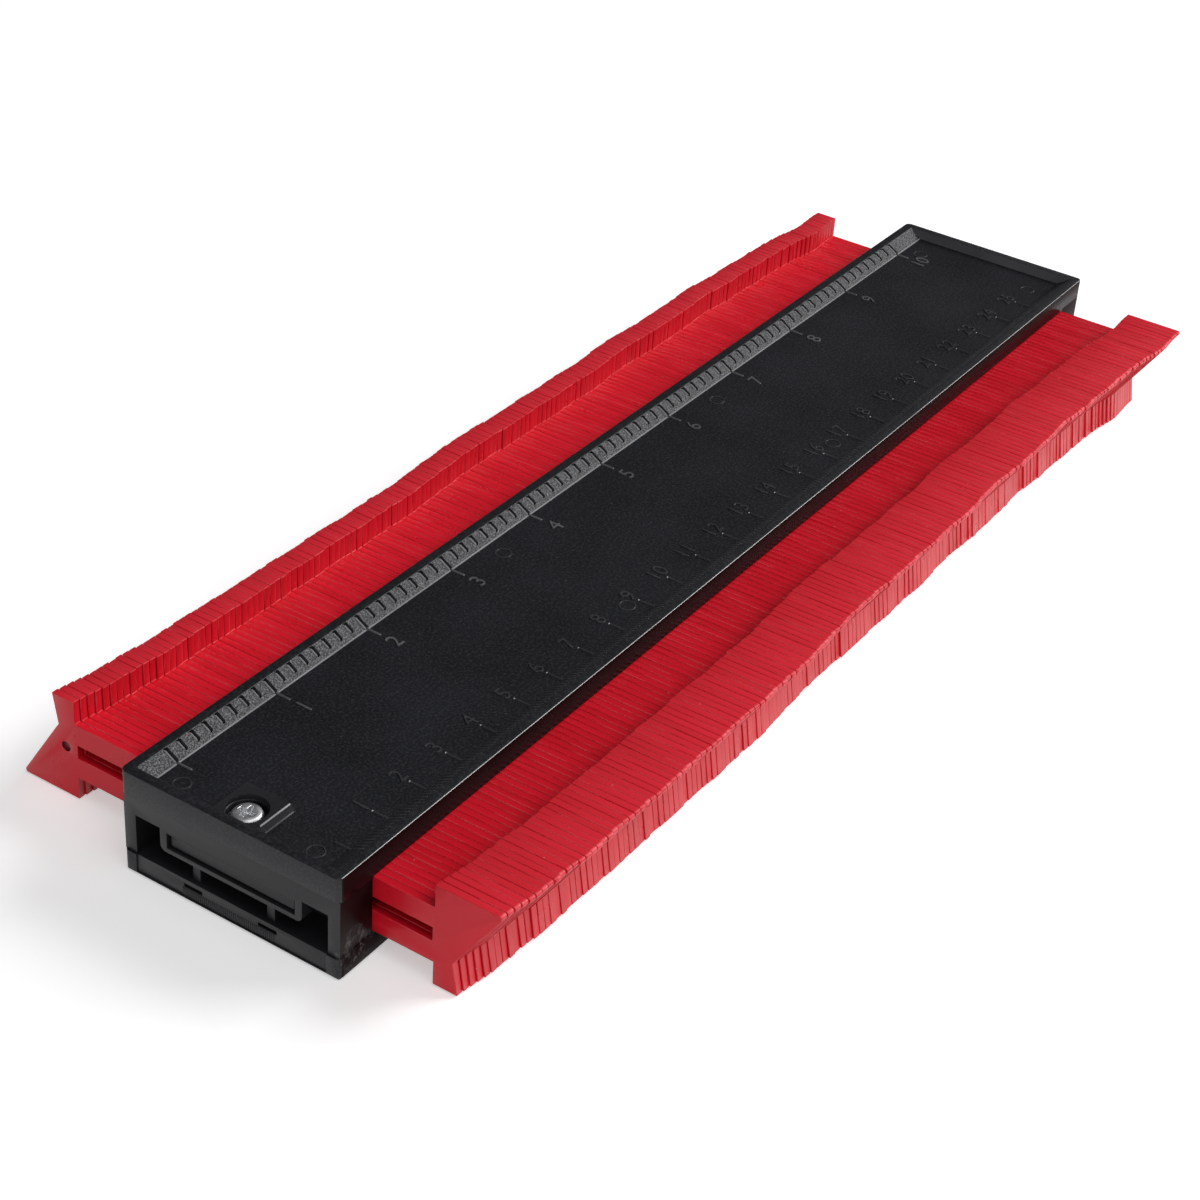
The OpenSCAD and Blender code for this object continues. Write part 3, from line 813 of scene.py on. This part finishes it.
def screw_pad():
    """The raised pad round the near screw, flush with the rim, with sloped sides and a round bore."""
    corners = [math.atan2(y, x - SCREW_X) for x in PAD_X for y in (-PAD_HALF_W, PAD_HALF_W)]
    angles = sorted([math.tau * (i + 0.5) / PAD_STEPS - math.pi for i in range(PAD_STEPS)] + corners)
    back, front = (x - SCREW_X for x in PAD_X)
    wider_x, wider_y = 1 + PAD_SLOPES[0] / front, 1 + PAD_SLOPES[1] / PAD_HALF_W
    bm = bmesh.new()
    rings = []
    for a in angles:
        c, s = math.cos(a), math.sin(a)
        out = min((front if c > 0 else back) / c, PAD_HALF_W / abs(s))
        x, y = out * c, out * s
        bore_x, bore_y = PAD_BORE_R * c, PAD_BORE_R * s
        points = [(bore_x, bore_y, PAD_BORE_FOOT_Z), (bore_x, bore_y, PAD_TOP_Z), (x, y, PAD_TOP_Z),
                  (x * (wider_x if x > 0 else 1), y * wider_y, FLOOR_Z - MARK_SINK)]
        rings.append([bm.verts.new((SCREW_X + px, py, pz)) for px, py, pz in points])
    for ring, after in zip(rings, rings[1:] + rings[:1]):
        for i in range(len(ring)):
            j = (i + 1) % len(ring)
            bm.faces.new((ring[i], ring[j], after[j], after[i]))
    bmesh.ops.recalc_face_normals(bm, faces=bm.faces)
    pad = rounded(new_object("screw_pad", mesh_from(bm, "screw_pad")), COVER_EDGE)
    finished(painted(pad, FRAME_BLACK), "housing", "housing_black")


def pad_lines():
    """Two half-round lines along the side of the screw's pad, pale as painted highlights, the upper one
    brighter.
    """
    lines = joined("pad_lines", (
        placed(outline_solid("line", bar_outline(PAD_LINE_L, width), PAD_LINE_H, PAD_LINE_EDGE),
               (PAD_LINE_X, y, z)) for y, z, width in PAD_LINES))
    painted(lines, RIB_HIGHLIGHT, MARK_HIGHLIGHT)
    for face in lines.data.polygons:
        face.material_index = int(face.center.y < BETWEEN_PAD_LINES_Y)
    finished(lines, "housing", "housing_black")


def bevel_fillet():
    """The small fillet along the foot of the inch bevel, painted pale as a highlight where the light catches.
    """
    ends = (COVER_LOW.x + RIM_W + END_BEVEL_W, COVER_HIGH.x - RIM_W - END_BEVEL_W)
    rise = BEVEL_FILLET * math.sin(BEVEL_TILT)
    section = [(BEVEL_FOOT_Y - BEVEL_FILLET, FLOOR_Z),
               (BEVEL_FOOT_Y + BEVEL_FILLET * math.cos(BEVEL_TILT), FLOOR_Z + rise),
               (BEVEL_FOOT_Y, FLOOR_Z - MARK_SINK)]
    bm = bmesh.new()
    near, far = ([bm.verts.new((x, y, z)) for y, z in section] for x in ends)
    bm.faces.new(near)
    bm.faces.new(far)
    for i in range(len(section)):
        j = (i + 1) % len(section)
        bm.faces.new((near[i], near[j], far[j], far[i]))
    bmesh.ops.recalc_face_normals(bm, faces=bm.faces)
    fillet = new_object("bevel_fillet", mesh_from(bm, "bevel_fillet"))
    finished(painted(fillet, BEVEL_FOOT_HIGHLIGHT), "housing", "housing_black")


# Marks on the housing

def turned(along, off):
    """A turn that lays a mark's own X along one direction and its Z along another."""
    return Matrix((along, off.cross(along), off)).transposed().to_4x4()


def on_centimetre_bevel():
    """Places a mark's own X down the centimetre bevel from the rim, with its Z off the slope."""
    down = Vector((0, math.cos(BEVEL_TILT), -math.sin(BEVEL_TILT)))
    off = Vector((0, math.sin(BEVEL_TILT), math.cos(BEVEL_TILT)))
    return Matrix.Translation((ZERO_X, -BEVEL_TOP_Y, RIM_Z)) @ turned(down, off)


def on_foot():
    """Places a mark's own X up the near foot plate, with its Z off the plate, where the grip starts."""
    up, off = Vector((0, 0, 1)), Vector((-1, 0, 0))
    return Matrix.Translation((NEAR_FACE_X, FOOT_GRIP_Y[0], FOOT_GRIP_Z)) @ turned(up, off)


def mark_row(name, tree, mesh, place, count, step, slot, material):
    """A row of like marks on the housing."""
    mesh.transform(place)
    row = new_object(name, mesh)
    grown(row, tree, {"Count": count, "Step": step, "Material": material})
    finished(row, "housing", slot)


def mark_rows():
    """Millimetre marks on a bevel and bright ends of the centimetre lines, both painted as highlights, and
    the grip on the near foot.
    """
    tree = row_tree()
    fine = outline_solid("fine", bar_outline(FINE_L, FINE_W), FINE_H, FINE_EDGE)
    below_rim = on_centimetre_bevel() @ Matrix.Translation((FINE_START, 0, 0))
    mark_row("millimetre_marks", tree, fine, below_rim, MILLIMETRE_MARKS, (MM, 0, 0), "housing_black",
             FAINT_MARK_HIGHLIGHT)
    dot = outline_solid("dot", circle_outline(DOT_R, steps=8), DOT_H, DOT_EDGE)
    line_end = Matrix.Translation((ZERO_X + CENTIMETRE, CM_LINE_END_Y, FLOOR_Z))
    # The centimetre line ends are painted pale as glints
    mark_row("centimetre_line_ends", tree, dot, line_end, CENTIMETRES, (CENTIMETRE, 0, 0), "housing_black",
             RIM_EDGE_HIGHLIGHT)
    ridge = outline_solid("ridge", bar_outline(FOOT_GRIP_H, RIDGE_W, steps=3), RIDGE_H, RIDGE_EDGE)
    pitch = (FOOT_GRIP_Y[1] - FOOT_GRIP_Y[0]) / (FOOT_RIDGES - 1)
    mark_row("foot_grip", tree, ridge, on_foot(), FOOT_RIDGES, (0, pitch, 0), "frame_black", FRAME_BLACK)


def number_mesh(text, height):
    """A raised number, centred on x = 0 with its foot at y = 0."""
    curve = bpy.data.curves.new("number", "FONT")
    curve.body = text
    curve.size = height / DIGIT_SHARE
    curve.align_x = "CENTER"
    curve.extrude = NUMBER_RISE
    curve.bevel_depth = NUMBER_EDGE
    curve.bevel_resolution = 0
    curve.offset = -NUMBER_THINNED
    curve.resolution_u = DIGIT_STEPS
    return curve_mesh(curve)


def number_row(name, count, pitch, foot_y, height, material):
    """Numbers from 1 up along a scale."""
    row = joined(name, (placed(number_mesh(str(number), height), (ZERO_X + number * pitch, foot_y, FLOOR_Z))
                        for number in range(1, count + 1)))
    finished(painted(row, material), "housing", "housing_black")


def ejector_rings():
    """Round marks that the mould's ejector pins left on the tray's floor, pale with a faint painted
    highlight.
    """
    places = [(ZERO_X + x * MM, y * MM, FLOOR_Z) for x in RING_X_MM for y in RING_Y_MM]
    outer, inner = circle_outline(RING_R), circle_outline(RING_R - RING_W)
    rings = joined("ejector_rings", (placed(outline_solid("ring", outer, RING_H, RING_EDGE, inner), place)
                                     for place in places))
    finished(painted(rings, FAINT_MARK_HIGHLIGHT), "housing", "housing_black")


leaves()
top_cover()
plain_housing_pieces()
screws()
screw_pad()
mark_rows()
pad_lines()
bevel_fillet()
# The numbers' pale greys are painted highlights
number_row("inch_numbers", INCHES, INCH, INCH_NUMBER_Y, INCH_NUMBER_H, MARK_HIGHLIGHT)
number_row("centimetre_numbers", CENTIMETRES, CENTIMETRE, CM_NUMBER_Y, CM_NUMBER_H, FAINT_MARK_HIGHLIGHT)
ejector_rings()


# Stage, light and camera

def floor_glow(tree, place):
    """Glow that the camera and mirror-like surfaces see, dim near the gauge, so that its shadow stays."""
    rays = tree.nodes.new("ShaderNodeLightPath")
    seen = rays.outputs["Is Camera Ray"]
    for kind in ("Is Glossy Ray", "Is Transmission Ray"):
        either = tree.nodes.new("ShaderNodeMath")
        either.operation = "MAXIMUM"
        tree.links.new(seen, either.inputs[0])
        tree.links.new(rays.outputs[kind], either.inputs[1])
        seen = either.outputs["Value"]
    away = tree.nodes.new("ShaderNodeVectorMath")
    away.operation = "LENGTH"
    tree.links.new(place, away.inputs[0])
    return product(tree, seen, spread(tree, away.outputs["Value"], GLOW_REACH, GLOW_STRENGTH))


def studio_floor():
    """A wide pale floor that shows near white and keeps the gauge's shadow."""
    mesh = bpy.data.meshes.new("floor")
    corners = [(x * FLOOR_REACH, y * FLOOR_REACH, 0) for x, y in ((-1, -1), (1, -1), (1, 1), (-1, 1))]
    mesh.from_pydata(corners, [], [(0, 1, 2, 3)])
    floor = new_object("studio_floor", mesh)
    floor.location.z = -FLOOR_DROP
    material, tree, shader, place = new_material("studio floor")
    shader.inputs["Base Color"].default_value = FLOOR_PALE
    shader.inputs["Roughness"].default_value = FLOOR_ROUGHNESS
    shader.inputs["Specular IOR Level"].default_value = 0.0
    shader.inputs["Emission Color"].default_value = FLOOR_GLOW
    tree.links.new(floor_glow(tree, place), shader.inputs["Emission Strength"])
    painted(floor, material)


def softbox(name, place, size, power):
    """A rectangular lamp that faces the middle of the gauge: place and size in metres, power in watts."""
    lamp = bpy.data.lights.new(name, "AREA")
    lamp.shape = "RECTANGLE"
    lamp.size, lamp.size_y = size
    lamp.energy = power
    obj = new_object(name, lamp)
    obj.location = place
    obj.rotation_euler = (-Vector(place)).to_track_quat("-Z", "Y").to_euler()


def studio_light():
    """Soft light from the far right, which glances off the inch bevel and the rim, weaker light from the near
    right and the front, a low glow behind the gauge, and a dim surround."""
    softbox("far softbox", place=(1.26, -0.98, 1.22), size=(1.1, 1.0), power=31.0)
    softbox("rim strip", place=(1.43, -1.06, 0.84), size=(0.5, 0.2), power=4.0)
    softbox("near softbox", place=(-0.4, -0.6, 1.25), size=(1.0, 1.0), power=5.8)
    softbox("front fill", place=(-1.3, -0.15, 0.4), size=(0.8, 0.6), power=3.4)
    softbox("low backdrop", place=(1.25, 0.62, 0.14), size=(2.0, 0.24), power=0.4)
    world = bpy.data.worlds.new("surround")
    world.use_nodes = True
    world.node_tree.nodes["Background"].inputs["Color"].default_value = SURROUND
    bpy.context.scene.world = world


def camera():
    """The photograph's point of view."""
    lens = bpy.data.cameras.new("camera")
    lens.lens = LENS_MM
    lens.sensor_width = SENSOR_MM
    lens.clip_start = CLIP_START
    obj = new_object("camera", lens)
    obj.location = EYE
    level = (AIM - EYE).to_track_quat("-Z", "Y").to_matrix().to_4x4()
    obj.rotation_euler = (level @ Matrix.Rotation(ROLL, 4, "Z")).to_euler()
    bpy.context.scene.camera = obj


studio_floor()
studio_light()
camera()
bpy.context.scene.view_settings.view_transform = "Standard"
